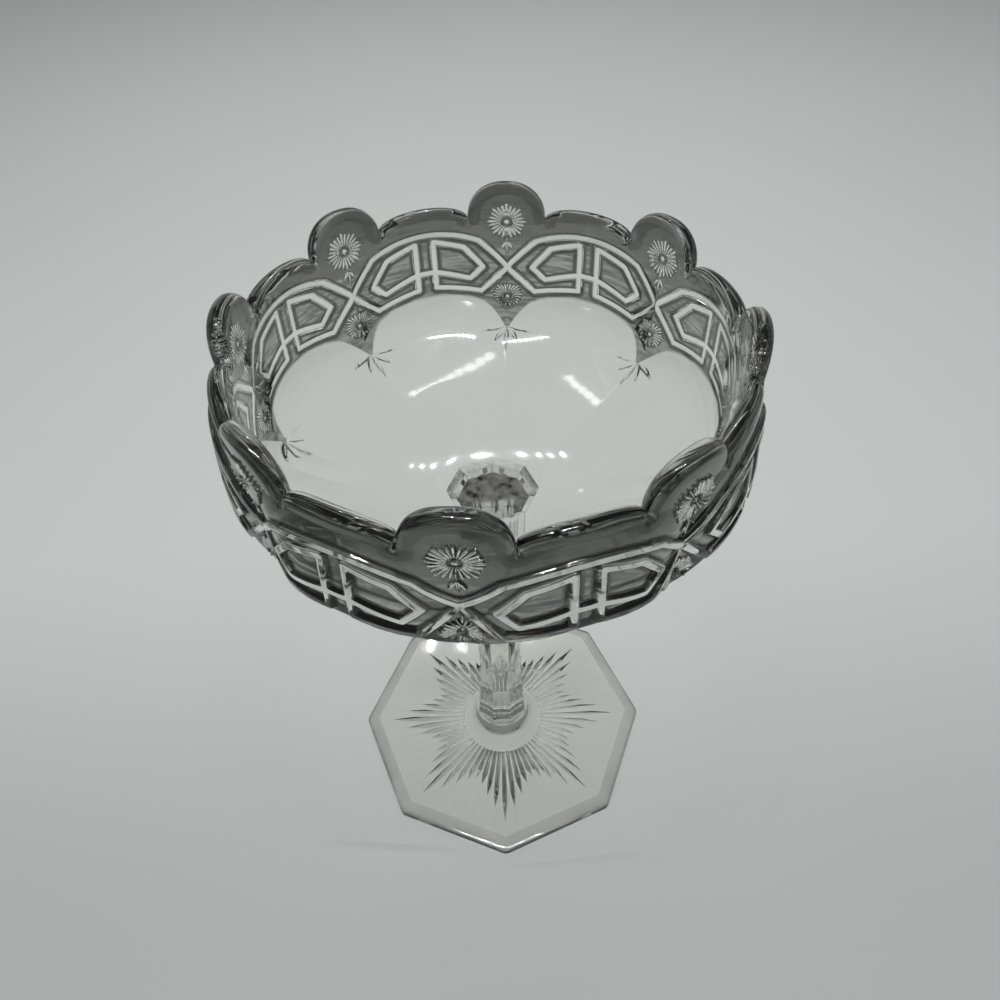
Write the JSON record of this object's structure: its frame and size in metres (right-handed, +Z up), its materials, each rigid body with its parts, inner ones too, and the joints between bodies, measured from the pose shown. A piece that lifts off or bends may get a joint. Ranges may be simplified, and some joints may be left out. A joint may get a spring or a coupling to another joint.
{
  "type": "footed compote bowl",
  "caption": "Clear pressed-glass compote: shallow bowl with a scalloped band of frames and daisies, faceted stem and octagonal sunburst foot.",
  "frame": {"origin": "middle of the foot's resting face", "axes": "+Z up along the axis of the stem, -Y towards the front corner of the foot"},
  "size_m": [0.1644, 0.1644, 0.2264],
  "materials": {
    "foot_glass": "clear colourless pressed glass, fire polished, with sunburst grooves underneath",
    "stem_glass": "clear colourless pressed glass, smooth faceted faces",
    "bowl_glass": "clear colourless pressed glass with a raised pattern, faint grey tint where thick"
  },
  "bodies": {
    "root": {"foot": "foot_glass", "stem": "stem_glass", "bowl": "bowl_glass"}
  },
  "joints": []
}
